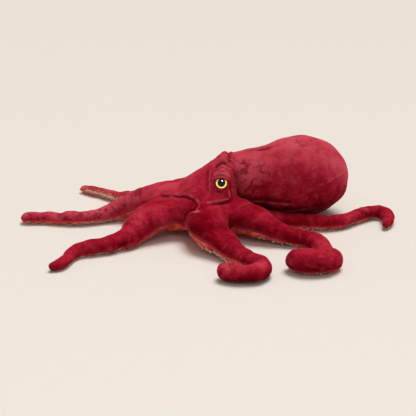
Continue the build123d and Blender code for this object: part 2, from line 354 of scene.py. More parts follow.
def surface(field, low, high, pitch):
    """Quad mesh of a field's zero surface, by surface nets."""
    axes = [np.arange(low[k], high[k] + pitch, pitch) for k in range(3)]
    grid = np.stack(np.meshgrid(*axes, indexing="ij"), -1).reshape(-1, 3)
    values = field(grid).reshape([len(a) for a in axes])
    nx, ny, nz = values.shape
    inside = values < 0
    count = np.zeros((nx - 1, ny - 1, nz - 1), np.int8)
    for i in (0, 1):
        for j in (0, 1):
            for k in (0, 1):
                count += inside[i : nx - 1 + i, j : ny - 1 + j, k : nz - 1 + k]
    cells = np.argwhere((count > 0) & (count < 8))
    index = np.full(count.shape, -1, np.int64)
    index[tuple(cells.T)] = np.arange(len(cells))
    total = np.zeros((len(cells), 3))
    hits = np.zeros(len(cells))
    for axis in range(3):
        others = [k for k in range(3) if k != axis]
        for u in (0, 1):
            for v in (0, 1):
                a = cells.copy()
                a[:, others[0]] += u
                a[:, others[1]] += v
                b = a.copy()
                b[:, axis] += 1
                fa, fb = values[tuple(a.T)], values[tuple(b.T)]
                cross = (fa < 0) != (fb < 0)
                t = np.where(cross, fa / np.where(cross, fa - fb, 1), 0)
                point = a.astype(float)
                point[:, axis] += t
                total[cross] += point[cross]
                hits[cross] += 1
    verts = total / hits[:, None] * pitch + np.array(low)
    faces = []
    for axis in range(3):
        u, v = [(1, 2), (2, 0), (0, 1)][axis]
        edges = np.argwhere(np.diff(inside, axis=axis))
        for k in (u, v):
            edges = edges[(edges[:, k] > 0) & (edges[:, k] < values.shape[k] - 1)]
        outwards = inside[tuple(edges.T)]
        ring = []
        for du, dv in ((1, 1), (0, 1), (0, 0), (1, 0)):
            c = edges.copy()
            c[:, u] -= du
            c[:, v] -= dv
            ring.append(index[tuple(c.T)])
        ring = np.stack(ring, 1)
        ring[~outwards] = ring[~outwards][:, ::-1]
        faces.append(ring)
    faces = np.vstack(faces)
    return verts, faces[(faces >= 0).all(1)]


def make_object(name, verts_mm, faces):
    mesh = bpy.data.meshes.new(name)
    mesh.from_pydata((verts_mm * MM).tolist(), [], [list(map(int, f)) for f in faces])
    mesh.update()
    obj = bpy.data.objects.new(name, mesh)
    bpy.context.scene.collection.objects.link(obj)
    return obj


def read_mesh(mesh):
    co = np.zeros(len(mesh.vertices) * 3, np.float32)
    mesh.vertices.foreach_get("co", co)
    mesh.calc_loop_triangles()
    tris = np.zeros(len(mesh.loop_triangles) * 3, np.int32)
    mesh.loop_triangles.foreach_get("vertices", tris)
    return co.reshape(-1, 3).astype(float) / MM, tris.reshape(-1, 3).astype(int)


def stuff(verts, faces, extra):
    """Blows the skin up as stuffed cloth, with a little more cloth than the form needs, and subdivides it."""
    obj = make_object("stuffing", verts, faces)
    cloth = obj.modifiers.new("cloth", "CLOTH")
    settings = cloth.settings
    settings.quality, settings.mass = 4, 0.25
    settings.tension_stiffness = settings.compression_stiffness = 12
    settings.shear_stiffness, settings.bending_stiffness = 4, 0.25
    settings.shrink_min = -extra
    settings.use_pressure = True
    settings.uniform_pressure_force = PRESSURE
    settings.effector_weights.gravity = 0
    cloth.collision_settings.use_collision = False
    cloth.point_cache.frame_start = 1
    cloth.point_cache.frame_end = FRAMES
    scene = bpy.context.scene
    for step in range(1, FRAMES + 1):
        scene.frame_set(step)
    depsgraph = bpy.context.evaluated_depsgraph_get()
    moved, _ = read_mesh(obj.evaluated_get(depsgraph).data)
    shift = moved - verts
    length = np.linalg.norm(shift, axis=1)
    shift *= np.minimum(1, CAP / np.maximum(length, 1e-6))[:, None]
    obj.modifiers.clear()
    scene.frame_set(1)
    verts = verts + shift
    verts[:, 2] = np.maximum(verts[:, 2], FLOOR_GAP)
    obj.data.vertices.foreach_set("co", (verts * MM).astype(np.float32).ravel())
    obj.data.update()
    subsurf = obj.modifiers.new("subsurf", "SUBSURF")
    subsurf.levels = 1
    depsgraph = bpy.context.evaluated_depsgraph_get()
    fine, tris = read_mesh(obj.evaluated_get(depsgraph).data)
    bpy.data.objects.remove(obj)
    return fine, tris


def neighbours_mean(values, tris, rounds):
    """Values smoothed over the mesh."""
    pairs = np.vstack([tris[:, [0, 1]], tris[:, [1, 2]], tris[:, [2, 0]]])
    pairs = np.vstack([pairs, pairs[:, ::-1]])
    count = np.bincount(pairs[:, 0], minlength=len(values)).astype(float)
    flat = values.reshape(len(values), -1)
    for _ in range(rounds):
        sums = [np.bincount(pairs[:, 0], column[pairs[:, 1]], len(values)) for column in flat.T]
        total = np.stack(sums, 1)
        flat = 0.4 * flat + 0.6 * total / np.maximum(count, 1)[:, None]
    return flat.reshape(values.shape)


def vertex_normals(verts, tris):
    a, b, c = (verts[tris[:, k]] for k in range(3))
    face = np.cross(b - a, c - a)
    total = np.stack(
        [sum(np.bincount(tris[:, k], face[:, axis], len(verts)) for k in range(3)) for axis in range(3)], 1
    )
    return total / np.maximum(np.linalg.norm(total, axis=1), 1e-9)[:, None]


def path_distance(points, path):
    """Distance from points to a path, the share along it, the nearest point and the direction there."""
    path = np.array(path, float)
    best = np.full(len(points), FAR)
    share = np.zeros(len(points))
    nearest = np.zeros((len(points), 3))
    tangent = np.zeros((len(points), 3))
    low, high = path.min(0) - 15, path.max(0) + 15
    near = np.nonzero(np.all((points > low) & (points < high), 1))[0]
    lengths = np.concatenate([[0], np.cumsum(np.linalg.norm(np.diff(path, axis=0), axis=1))])
    for i in range(len(path) - 1):
        along = path[i + 1] - path[i]
        d = points[near] - path[i]
        t = np.clip(d @ along / (along @ along), 0, 1)
        foot = path[i] + t[:, None] * along
        gap = np.linalg.norm(points[near] - foot, axis=1)
        closer = gap < best[near]
        where = near[closer]
        best[where] = gap[closer]
        share[where] = (lengths[i] + t[closer] * (lengths[i + 1] - lengths[i])) / lengths[-1]
        nearest[where] = foot[closer]
        tangent[where] = unit(along)
    return best, share, nearest, tangent


def smooth_path(points, rounds=2):
    """Rounds a path's corners."""
    p = np.array(points, float)
    for _ in range(rounds):
        q = [p[0]]
        for a, b in zip(p[:-1], p[1:]):
            q += [a * 0.75 + b * 0.25, a * 0.25 + b * 0.75]
        q.append(p[-1])
        p = np.array(q)
    return p


# The masks: a painted highlight along ridges and raised edges, painted shade in creases, tucks and where
# parts meet, painted light by how far the skin faces up, and how strong that painted light and the nap
# patches are
MASKS = ("rim", "dark", "lie", "brush")  # values at each point that the materials read


def swell(points, wavelength, seed, waves=9):
    """Smooth seeded noise between about -1 and 1."""
    rng = np.random.default_rng(seed)
    total = np.zeros(len(points))
    for _ in range(waves):
        direction = unit(rng.normal(size=3))
        k = 2 * math.pi / (wavelength * rng.uniform(0.75, 1.4))
        total += np.sin(points @ direction * k + rng.uniform(0, 2 * math.pi))
    return total / math.sqrt(waves)


class Skin:
    """A skin's mesh, with values at each point that go with it when it is cut."""

    def __init__(self, verts, tris):
        self.v, self.t = verts, tris
        self.data = {key: np.zeros(len(verts)) for key in MASKS}

    def normals(self):
        return vertex_normals(self.v, self.t)

    def mark(self, key, values):
        """Raises a mask to these values where they are higher."""
        self.data[key] = np.maximum(self.data[key], values)

    def push(self, amount):
        """Moves each point out along its normal."""
        self.v = self.v + self.normals() * amount[:, None]

    def brushed_flat(self, rounds):
        """Keeps the normals that the pieces share, and how far each point faces up, for painted light:
        lighter facing up, darker facing down.
        """
        self.data["nx"] = self.normals()
        up = self.data["nx"][:, 2]
        self.data["lie"] = (neighbours_mean(up, self.t, rounds) if rounds else up) * 0.5 + 0.5

    def fold(self, path, depth=2.0, width=2.2, rim=0.0, rim_side=1, rim_width=2.0, offset=3.0, taper=0.25):
        """A crease along a path, with a raised rim to one side of it; painted shade goes in the crease and a
        painted highlight on the rim.
        """
        path = self.laid(smooth_path(path))
        d, share, foot, tangent = path_distance(self.v, path)
        n = self.normals()
        ends = eased(share, taper) * np.clip(0.8 + 0.35 * swell(foot, 12.0, 8), 0.2, 1.2)
        side = np.einsum("ij,ij->i", np.cross(tangent, n), self.v - foot) * rim_side
        groove = bell(d / width) * ends * (d < 20)
        ridge = bell((side - offset) / rim_width) * (d < offset + 4 * rim_width) * ends
        self.v = self.v - n * (groove * depth)[:, None] + n * (ridge * rim)[:, None]
        if depth > 0:
            self.mark("dark", groove * min(1, depth / 2))
        if rim > 0:
            self.mark("rim", ridge * min(1, rim) * 0.7)

    def lap(self, path, side, height, run, drop, seed, wide=2.2, taper=0.15, rounds=2, shade=1.0):
        """A lapped edge along a path: the skin stands up on one side and is tucked in on the other, with
        painted shade in the tuck and a painted highlight, in patches, along the raised edge.
        """
        path = self.laid(smooth_path(path, rounds), smooth=rounds)
        d, share, foot, tangent = path_distance(self.v, path)
        n = self.normals()
        ends = eased(share, taper) * (0.8 + 0.2 * swell(foot, 14.0, seed)) * (d < 22)
        across = np.einsum("ij,ij->i", np.cross(tangent, n), self.v - foot) * side
        up = np.where(across > 0, np.exp(-across / run) * np.clip(across / 1.4, 0, 1), 0)
        tuck = bell((across + 0.55 * wide) / wide)
        self.v = self.v + n * ((up * height - tuck * drop) * ends)[:, None]
        self.mark("dark", bell((across + 0.6 * wide) / (0.8 * wide)) * ends * shade)
        patchy = np.clip(0.75 + 0.5 * swell(foot, 9.0, seed + 1), 0, 1)
        self.mark("rim", bell((across - 1.8) / 1.3) * ends * patchy)

    def laid(self, path, reach=18.0, smooth=2):
        """A path moved on to the skin, and smoothed there."""
        laid = path.copy()
        for i, point in enumerate(path):
            gap = ((self.v - point) ** 2).sum(1)
            nearest = gap.argmin()
            if gap[nearest] < reach**2:
                laid[i] = self.v[nearest]
        return rounded(laid, smooth)

    def ruffle(self, wavelength, amount, seed):
        """Uneven stuffing: smooth random swells of about that wavelength."""
        self.push(swell(self.v, wavelength, seed) * amount)

    def puff(self, centre, radius, amount):
        """Pushes the skin out or in round a point."""
        d = np.linalg.norm(self.v - np.array(centre, float), axis=1)
        self.push(bell(d / radius) * amount)

    def socket(self, centre, axis, radius, depth):
        """Lays the skin back behind a round eye."""
        q = self.v - centre
        w = q @ axis
        u = np.linalg.norm(q - w[:, None] * axis, axis=1)
        allowed = -depth + 1.6 * np.maximum(u - radius, 0)
        shift = np.where(np.abs(w) < 14, np.minimum(w, allowed) - w, 0)
        self.v = self.v + shift[:, None] * axis

    def cut(self, f):
        """Splits the triangles along the line where f is 0, and returns f with its new points."""
        f = np.where(np.abs(f) < 1e-4, 1e-4, f)
        t = self.t
        sign = f > 0
        mixed = ~(sign[t].all(1) | (~sign[t]).all(1))
        keep, split = t[~mixed], t[mixed]
        if not len(split):
            return f
        pos = sign[split].sum(1)
        lone = np.where(pos == 1, sign[split].argmax(1), (~sign[split]).argmax(1))
        rows = np.arange(len(split))
        a = split[rows, lone]
        b = split[rows, (lone + 1) % 3]
        c = split[rows, (lone + 2) % 3]
        pairs = np.sort(np.vstack([np.stack([a, b], 1), np.stack([a, c], 1)]), 1)
        unique, inverse = np.unique(pairs, axis=0, return_inverse=True)
        inverse = inverse.ravel()
        f0, f1 = f[unique[:, 0]], f[unique[:, 1]]
        w = f0 / (f0 - f1)
        first = len(self.v)
        ab = first + inverse[: len(split)]
        ac = first + inverse[len(split) :]

        def mix(values):
            x, y = values[unique[:, 0]], values[unique[:, 1]]
            ww = w.reshape([-1] + [1] * (x.ndim - 1))
            return np.concatenate([values, x * (1 - ww) + y * ww])

        self.v = mix(self.v)
        self.data = {key: mix(value) for key, value in self.data.items()}
        f = np.concatenate([f, np.zeros(len(unique))])
        corners = ((a, ab, ac), (ab, b, c), (ab, c, ac))
        self.t = np.vstack([keep] + [np.stack(three, 1) for three in corners])
        return f

    def pieces(self, labels, names, materials):
        """One object for each label, with the whole skin's normals, so that no cut shows."""
        n = self.data["nx"]
        made = {}
        for label, name in enumerate(names):
            tris = self.t[labels == label]
            if not len(tris):
                continue
            used, local = np.unique(tris, return_inverse=True)
            obj = make_object(name, self.v[used], local.reshape(-1, 3))
            mesh = obj.data
            for key in MASKS:
                attribute = mesh.attributes.new(key, "FLOAT", "POINT")
                attribute.data.foreach_set("value", self.data[key][used].astype(np.float32))
            mesh.polygons.foreach_set("use_smooth", [True] * len(mesh.polygons))
            mesh.normals_split_custom_set_from_vertices(n[used].tolist())
            mesh.materials.append(materials[name])
            made[name] = obj
        return made

    def whole(self, name, material):
        """The whole skin as one object."""
        return self.pieces(np.zeros(len(self.t), int), [name], {name: material})[name]


# ---- Materials -----------------------------------------------------------------------------------


class Material:
    """A material and its nodes.  Numbers and colours that a method is given go straight on to sockets."""

    def __init__(self, name, **inputs):
        self.made = bpy.data.materials.new(name)
        self.made.use_nodes = True
        self.tree = self.made.node_tree
        self.shader = self.tree.nodes["Principled BSDF"]
        self.coords = self.node("TexCoord").outputs["Object"]
        self.set(**inputs)

    def feed(self, socket, value):
        if hasattr(value, "is_linked"):
            self.tree.links.new(value, socket)
        else:
            socket.default_value = value

    def set(self, **inputs):
        for key, value in inputs.items():
            self.feed(self.shader.inputs[key.replace("_", " ")], value)

    def node(self, kind, *values, **inputs):
        """A node with values for its first sockets in order, and for others and its settings by name."""
        made = self.tree.nodes.new("ShaderNode" + kind)
        for key, value in inputs.items():
            if key.startswith("_"):
                setattr(made, key[1:], value)
            else:
                self.feed(made.inputs[key], value)
        for k, value in enumerate(values):
            self.feed(made.inputs[k], value)
        return made

    def noise(self, scale, detail, rough, distortion=0.0):
        settings = dict(Scale=scale, Detail=detail, Roughness=rough, Distortion=distortion)
        return self.node("TexNoise", Vector=self.coords, **settings).outputs["Fac"]

    def ramp(self, fac, *stops):
        """Colours, or greys given as one number, at places along a ramp."""
        made = self.node("ValToRGB", Fac=fac)
        elements = made.color_ramp.elements
        while len(elements) < len(stops):
            elements.new(0.5)
        for element, (at, colour) in zip(elements, stops):
            element.position = at
            element.color = (*colour, 1) if isinstance(colour, tuple) else (colour, colour, colour, 1)
        return made.outputs["Color"]

    def mix(self, fac, a, b, blend="MIX"):
        made = self.node("Mix", _data_type="RGBA", _blend_type=blend, Factor=fac, A=a, B=b)
        return made.outputs["Result"]

    def math(self, operation, a, b):
        return self.node("Math", a, b, _operation=operation).outputs["Value"]

    def times(self, a, b):
        return self.math("MULTIPLY", a, b)

    def plus(self, a, b):
        return self.math("ADD", a, b)

    def mask(self, name):
        return self.node("Attribute", _attribute_name=name).outputs["Fac"]

    def bump(self, height, strength, distance):
        made = self.node("Bump", Height=height, Strength=strength, Distance=distance)
        self.set(Normal=made.outputs["Normal"])


def velour_material():
    """Short-pile crimson velour with crushed and lifted patches, and painted light: lighter and pinker facing
    up, darker facing down, painted shade in creases and a painted pink highlight along ridges.
    """
    m = Material("crimson_velour", Roughness=0.92, Specular_IOR_Level=0.0)
    m.set(Sheen_Weight=0.4, Sheen_Roughness=0.36, Sheen_Tint=(1.0, 0.13, 0.19, 1))
    clouds = m.noise(17, 5, 0.60, 0.4)
    nap = m.noise(105, 10, 0.72, 0.45)
    clusters = m.noise(15, 3, 0.5, 0.3)
    fine = m.noise(420, 3, 0.7)
    # Painted light: the pile runs from dark crimson to pink the more the skin faces up, scaled by the painted
    # light mask, with random clouds on top
    lie = m.ramp(m.mask("lie"), (0.30, 0.0), (0.95, 1.0))
    lie = m.plus(m.times(lie, 0.52), 0.42)
    spread = m.times(m.math("SUBTRACT", clouds, 0.5), 1.5)
    level = m.plus(m.times(m.mask("brush"), lie), spread)
    darkest, dark = (0.160, 0.0006, 0.005), (0.290, 0.0020, 0.012)
    middle, pink = (0.520, 0.018, 0.046), (0.700, 0.085, 0.125)
    colour = m.ramp(level, (0.00, darkest), (0.25, dark), (0.55, middle), (0.95, pink))
    # Crushed marks, in clusters, and pile that is lifted between them
    crushed = m.ramp(nap, (0.500, 0.0), (0.560, 1.0))
    grouped = m.ramp(clusters, (0.44, 0.22), (0.56, 1.0))
    crushed = m.times(m.times(crushed, grouped), 0.66)
    crushed = m.times(crushed, m.plus(m.times(m.mask("brush"), 0.65), 0.35))
    colour = m.mix(crushed, colour, (0.120, 0.0008, 0.005, 1))
    lifted = m.ramp(nap, (0.36, 1.0), (0.49, 0.0))
    lifted = m.times(m.times(lifted, m.mask("brush")), 0.26)
    colour = m.mix(lifted, colour, (0.66, 0.115, 0.155, 1))
    # Painted shade: darker where the skin faces down
    under = m.ramp(m.mask("lie"), (0.05, (0.30, 0.24, 0.24)), (0.48, 1.0))
    colour = m.mix(1.0, colour, under, "MULTIPLY")
    colour = m.mix(0.6, colour, m.ramp(fine, (0.30, 0.70), (0.72, 1.08)), "MULTIPLY")
    # Painted shade in creases, tucks and where parts meet, and a painted pink highlight along ridges and
    # raised edges
    colour = m.mix(m.times(m.mask("dark"), 0.80), colour, (0.035, 0.0003, 0.001, 1))
    colour = m.mix(m.times(m.mask("rim"), 0.80), colour, (0.70, 0.115, 0.160, 1))
    m.set(Base_Color=colour)
    m.bump(m.plus(m.times(nap, 0.8), m.times(fine, 0.25)), 0.55, 0.0016)
    return m.made


def satin_material():
    """Orange-red satin: a close weave, wrinkled, with a soft gloss."""
    m = Material("orange_satin", Specular_IOR_Level=0.6, Sheen_Weight=0.15, Sheen_Roughness=0.3)
    wrinkles = m.noise(60, 4, 0.6, 1.5)
    broad = m.noise(18, 3, 0.5)
    red, orange, glint = (0.50, 0.009, 0.004), (0.78, 0.036, 0.018), (0.95, 0.20, 0.11)
    # The colour follows the wrinkles that the bump draws: painted shade in the troughs and a painted
    # highlight on the crests
    colour = m.ramp(wrinkles, (0.38, red), (0.52, orange), (0.68, glint))
    m.set(Base_Color=m.mix(m.times(broad, 0.30), colour, (0.55, 0.010, 0.005, 1)))
    m.set(Roughness=m.ramp(wrinkles, (0.3, 0.30), (0.7, 0.46)))
    weave = m.node("TexWave", Vector=m.coords, Scale=900.0, Distortion=0.6)
    m.bump(m.plus(wrinkles, m.times(weave.outputs["Fac"], 0.03)), 0.7, 0.003)
    return m.made


def sucker_material():
    """Cream knitted suckers."""
    m = Material("cream_suckers", Roughness=0.8, Sheen_Weight=0.3)
    mottle = m.noise(350, 3, 0.6)
    m.set(Base_Color=m.ramp(mottle, (0.3, (0.55, 0.42, 0.33)), (0.7, (0.80, 0.70, 0.60))))
    m.bump(mottle, 0.5, 0.0006)
    return m.made


def lens_material():
    """Clear moulded plastic, polished, with faint swirls."""
    m = Material("clear_lens", Base_Color=(1, 1, 1, 1), Transmission_Weight=1.0, IOR=1.03)
    m.set(Coat_Weight=1.0, Coat_IOR=1.4, Coat_Roughness=0.02)
    m.set(Roughness=m.ramp(m.noise(300, 2, 0.5), (0.3, 0.015), (0.7, 0.05)))
    return m.made


def iris_material(eyes, pupil_r, ring_r):
    """Gold iris round a black pupil, by distance from each eye's middle line; it glows a little, painted
    light that brightens the gold.
    """
    m = Material("gold_iris", Emission_Strength=0.4, Roughness=0.7, Specular_IOR_Level=0.0)
    distance = None
    for centre, axis in eyes:
        offset = m.node("VectorMath", m.coords, centre * MM, _operation="SUBTRACT")
        off_axis = m.node("VectorMath", offset.outputs["Vector"], axis, _operation="CROSS_PRODUCT")
        length = m.node("VectorMath", off_axis.outputs["Vector"], _operation="LENGTH")
        value = length.outputs["Value"]
        distance = value if distance is None else m.math("MINIMUM", distance, value)
    share = m.math("DIVIDE", distance, ring_r * MM)
    edge = pupil_r / ring_r
    gold = m.ramp(m.noise(900, 3, 0.6), (0.3, (0.66, 0.38, 0.05)), (0.7, (0.98, 0.74, 0.24)))
    black = m.ramp(share, (0.0, 0.0), (edge - 0.02, 0.0), (edge + 0.02, 1.0))
    rim = m.ramp(share, (0.90, 1.0), (0.97, (0.10, 0.03, 0.01)))
    colour = m.mix(1.0, m.mix(1.0, gold, black, "MULTIPLY"), rim, "MULTIPLY")
    m.set(Base_Color=colour, Emission_Color=colour)
    return m.made


def washer_material():
    """White moulded plastic, slightly rough."""
    m = Material("white_washer", Roughness=0.45)
    speckle = m.noise(240, 3, 0.6)
    m.set(Base_Color=m.ramp(speckle, (0.3, (0.72, 0.72, 0.70)), (0.7, (0.84, 0.84, 0.82))))
    m.bump(speckle, 0.2, 0.0004)
    return m.made


def floor_material():
    """Pale matt paper."""
    m = Material("pale_floor", Roughness=0.9)
    speckle = m.noise(40, 3, 0.5)
    m.set(Base_Color=m.ramp(speckle, (0.3, (0.800, 0.748, 0.686)), (0.7, (0.806, 0.754, 0.692))))
    return m.made


VELOUR, SATIN, SUCKER = velour_material(), satin_material(), sucker_material()


# ---- Skins ---------------------------------------------------------------------------------------

EYE_AXIS, EYE_BACK, EYE = {}, {}, {}
for side_name, side in (("left", -1), ("right", 1)):
    azimuth, rise = math.radians(-3.0 + side * 99.0), math.radians(24.0)
    axis = np.array([math.cos(rise) * math.cos(azimuth), math.cos(rise) * math.sin(azimuth), math.sin(rise)])
    lens_points, _ = read_mesh(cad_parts[f"{side_name}_eye_lens"].data)
    height = lens_points @ axis
    EYE_AXIS[side_name] = axis
    EYE_BACK[side_name] = lens_points[height < height.min() + 0.1].mean(0)
    EYE[side_name] = EYE_BACK[side_name] + axis * 2.2
FACE_MIDDLE_Y = 10.0  # the face is the same to either side of this


def mirrored(points):
    """The same points on the other side of the face."""
    return [(x, 2 * FACE_MIDDLE_Y - y, z) for x, y, z in points]


def stuffed(field, low, high, pitch, extra):
    """A skin round a form, with that much more cloth than the form needs."""
    verts, quads = surface(lambda p: field(p) + SWELL, low, high, pitch)
    made = Skin(*stuff(verts, quads, extra))
    made.v = neighbours_mean(made.v, made.t, 2)
    return made


skin_low = np.array([cad_low[0], cad_low[1], 0.0]) / MM - 9
skin_high = np.array([cad_high[0], cad_high[1], 0.105]) / MM + 9
skin_low[2] = -6
skin = stuffed(skin_field, skin_low, skin_high, PITCH, extra=0.05)

mantle_low = np.array([10.0, -55.0, -3.0])
mantle_high = np.array([212.0, 125.0, 128.0])
mantle = stuffed(mantle_field, mantle_low, mantle_high, MANTLE_PITCH, extra=0.04)

skin.ruffle(60.0, 1.1, 3)
skin.ruffle(22.0, 0.5, 4)
mantle.ruffle(75.0, 1.3, 5)
mantle.ruffle(26.0, 0.45, 6)

# Creases of the hood, each with painted shade in its groove and a painted highlight on its raised edge.  Each
# is a path near the skin, in millimetres, for the toy's left side.
FLAP = [
    (-4, -58, 46), (9, -56, 51), (23, -52, 53), (34, -47, 55),
    (35, -45, 58), (31, -41, 66), (29, -34, 75),
]
C_CREASE = [(-60, -14, 38), (-49, -32, 47), (-34, -33, 56), (-20, -44, 55), (-12, -55, 49), (-12, -61, 30)]
CHEEK_LINE = [(-49, -32, 46), (-32, -26, 59), (-18, -21, 68)]
EYE_CREASE = [(3, -6, 85), (0, -17, 80), (0, -25, 75), (0, -33, 69), (1, -41, 62)]
BROW = [(7, -10, 86), (13, -5, 90), (20, -4, 93), (28, -9, 93), (33, -18, 89)]
UNDER_EYE = [(8, -41, 66), (15, -43, 64), (23, -42, 65)]
BROW_NOTCH = [(28, -14, 92), (29, 0, 98), (29, 12, 99), (29, 24, 98), (28, 36, 92)]
E_LINE = [(41, -50, 30), (46, -48, 34), (52, -45, 37), (61, -42, 39)]
SHOULDER = [(-58, -30, 40), (-50, -38, 44), (-40, -46, 44)]
skin.fold(BROW_NOTCH, depth=3.6, width=2.8, taper=0.2)
mantle.fold(BROW_NOTCH, depth=4.0, width=5.0, taper=0.2)
for turn in (list, mirrored):
    away = 1 if turn is list else -1
    skin.lap(turn(EYE_CREASE), -away, height=1.8, run=6.0, drop=2.6, wide=3.6, seed=21, shade=0.5)
    skin.lap(turn(BROW), -away, height=2.4, run=5.0, drop=3.4, wide=2.8, seed=22)
    skin.puff(turn([(20, 3, 97)])[0], 8.0, 2.2)
    skin.fold(turn(UNDER_EYE), depth=1.3, width=1.8, taper=0.4)
    skin.lap(turn(FLAP), -away, height=2.4, run=7.0, drop=2.6, taper=0.08, seed=23, rounds=1)
    skin.lap(turn(C_CREASE), -away, height=2.2, run=7.0, drop=3.0, taper=0.12, seed=24)
    skin.fold(turn(CHEEK_LINE), depth=1.1, width=2.4, rim=0.7, rim_side=-away, rim_width=1.5, offset=2.4)
    skin.fold(turn(E_LINE), depth=1.2, width=2.0, rim=0.6, rim_side=-away, rim_width=1.3, offset=2.2)
    skin.fold(turn(SHOULDER), depth=1.2, width=2.2, rim=0.6, rim_side=-away, rim_width=1.6, offset=2.4)

for side_name in EYE:
    skin.socket(EYE_BACK[side_name], EYE_AXIS[side_name], 8.4, 1.0)

# Creases of the mantle, with painted shade in the grooves and a painted highlight on the rims
NECK_FOLD = [(42, 30, 98), (55, 27, 101), (69, 25, 102), (83, 24, 106), (98, 26, 111)]
SIDE_SEAM = [(196, 40, 68), (193, 26, 70), (184, 12, 68), (174, 1, 66), (161, -8, 63), (150, -14, 60)]
LOWER_FOLD = [(52, -20, 42), (70, -18, 38), (88, -20, 36), (106, -23, 36), (125, -24, 36)]
LOWEST_FOLD = [(84, -6, 26), (104, -8, 24), (126, -10, 26), (146, -9, 31)]
mantle.lap(NECK_FOLD, -1, height=2.0, run=9.0, drop=4.5, wide=4.2, taper=0.3, seed=31)
mantle.fold(SIDE_SEAM, depth=0.5, width=1.2, rim=1.0, rim_side=1, rim_width=1.3, offset=1.8, taper=0.3)
mantle.fold(LOWER_FOLD, depth=1.8, width=2.2, rim=0.9, rim_side=1, rim_width=1.8, offset=3.2)
mantle.fold(LOWEST_FOLD, depth=1.4, width=2.4, rim=0.7, rim_side=1, rim_width=1.8, offset=3.4)


def nearness(gap):
    return np.exp(-np.clip(gap, -4, 60) / 2.5)


def nearest_arm():
    return np.argmin([skin.data[f"g{k}"] for k in range(len(LINES))], 0)


# Where the skin is satin: below the side seams of the arms, and under the crown
weights = np.zeros(len(skin.v))
satin_field = np.zeros(len(skin.v))
nearest_gap = np.full(len(skin.v), FAR)
for index, line in enumerate(LINES.values()):
    gap, s = line.field(skin.v)
    skin.data[f"g{index}"], skin.data[f"s{index}"] = gap, s
    middle, _, top, half, _, seam = line.at(s)
    drop = np.einsum("ij,ij->i", skin.v - middle, top) / half
    satin_field += nearness(gap) * (drop - seam)
    weights += nearness(gap)
    nearest_gap = np.minimum(nearest_gap, gap)
weight = nearness(core_field(skin.v))
satin_field += weight * (skin.v[:, 2] - CORE_SEAM_Z) / 12.0
weights += weight
satin_field = neighbours_mean(satin_field / np.maximum(weights, 1e-9), skin.t, 3)
skin.data["satin"] = satin_field
skin.data["radius"] = np.linalg.norm(skin.v[:, :2], axis=1)
own = nearest_arm()
own_s = np.choose(own, [skin.data[f"s{k}"] for k in range(len(LINES))])

# Painted light: lighter on the head, the mantle and the far arms, and on the near arms beyond their middles;
# the same mask sets how strong the nap patches are
brushed_most = {"right_arm_1": 0.85, "right_arm_2": 0.75, "left_arm_1": 0.50}
brushed_arm = np.array([brushed_most.get(name, 0.26) for name in LINES])
rise = np.clip((skin.v[:, 2] - 38) / 30, 0, 1)
inward = np.clip((70 - skin.data["radius"]) / 30, 0, 1)
brushed = brushed_arm[own] + 0.28 * np.clip((own_s - 90) / 40, 0, 1) * (brushed_arm[own] < 0.4)
brushed = brushed * (1 - rise * inward) + 0.8 * rise * inward
skin.data["brush"] = neighbours_mean(brushed, skin.t, 12)
mantle.data["brush"] = np.full(len(mantle.v), 1.0)

# Painted shade where the mantle rests on the crown and the arms, and on the mantle beside the hood
below = np.clip((92 - skin.v[:, 2]) / 12, 0, 1)
skin.mark("dark", bell(np.maximum(mantle_field(skin.v), 0) / 6.0) * below * 0.55)
below = np.clip((96 - mantle.v[:, 2]) / 14, 0, 1)
mantle.mark("dark", bell(np.maximum(hood_field(mantle.v), 0) / 8.0) * below * 0.7)


def along_arms(apart, around, wavelength, seed):
    """Noise that runs along each arm by its own length, and differs between the arms."""
    return swell(np.stack([own_s, own * apart, satin_field * around], 1), wavelength, seed)


# Wrinkles across the arms, as the covers are gathered along their side seams, with a painted highlight on
# their crests and painted shade in their troughs
gathers = along_arms(50.0, 9, 13.0, 11)
slow = np.clip(along_arms(90.0, 20, 60.0, 12) + 0.4, 0, 1.2)
on_arm = np.clip(1 - nearest_gap / 5, 0, 1) * np.clip((skin.data["radius"] - 55) / 20, 0, 1)
gathers = gathers * slow * on_arm
skin.push(gathers * 0.75)
skin.mark("rim", np.clip(gathers - 0.55, 0, 1) * 0.3)
skin.mark("dark", np.clip(-gathers - 0.6, 0, 1) * 0.5)
# Fine painted highlight streaks across the arms, in colour only
painted_streaks = along_arms(50.0, 5, 5.5, 13) * on_arm
skin.mark("rim", np.clip(painted_streaks - 1.0, 0, 1) * 0.18)

# The satin is cut loose and wrinkles
loose = np.clip(0.15 - satin_field, 0, 0.2) * 5
skin.push(swell(skin.v, 8.0, 15) * loose * 0.7)

# The side seam: the satin is set in under a rolled velour edge, and the roll gets a painted highlight
edge = bell(satin_field / 0.09) * (nearest_gap < 6)
roll = bell((satin_field - 0.10) / 0.09)
skin.push(roll * 0.8 - edge * 0.5)
skin.v[:, 2] = np.maximum(skin.v[:, 2], FLOOR_GAP)
skin.mark("rim", roll * 0.45)
skin.brushed_flat(6)

skin_tree = BVHTree.FromPolygons([Vector(v) for v in skin.v], [tuple(map(int, t)) for t in skin.t])

skin.data["satin"] = skin.cut(skin.data["satin"])
skin.data["radius"] = skin.cut(skin.data["radius"] - BODY_CUT_R) + BODY_CUT_R


def label_arms(points):
    best = np.full(len(points), FAR)
    which = np.zeros(len(points), int)
    at_s = np.zeros(len(points))
    for index, line in enumerate(LINES.values()):
        gap, s = line.field(points)
        closer = gap < best
        best[closer] = gap[closer]
        which[closer] = index
        at_s[closer] = s[closer]
    return which, at_s


# Cut each arm a little to either side of its middle hinge
for index, line in enumerate(LINES.values()):
    for at in (line.hinge_s - CUT_HALF, line.hinge_s + CUT_HALF):
        here = (nearest_arm() == index) & (skin.data["radius"] > BODY_CUT_R - 1)
        skin.cut(np.where(here, skin.data[f"s{index}"] - at, 40.0))

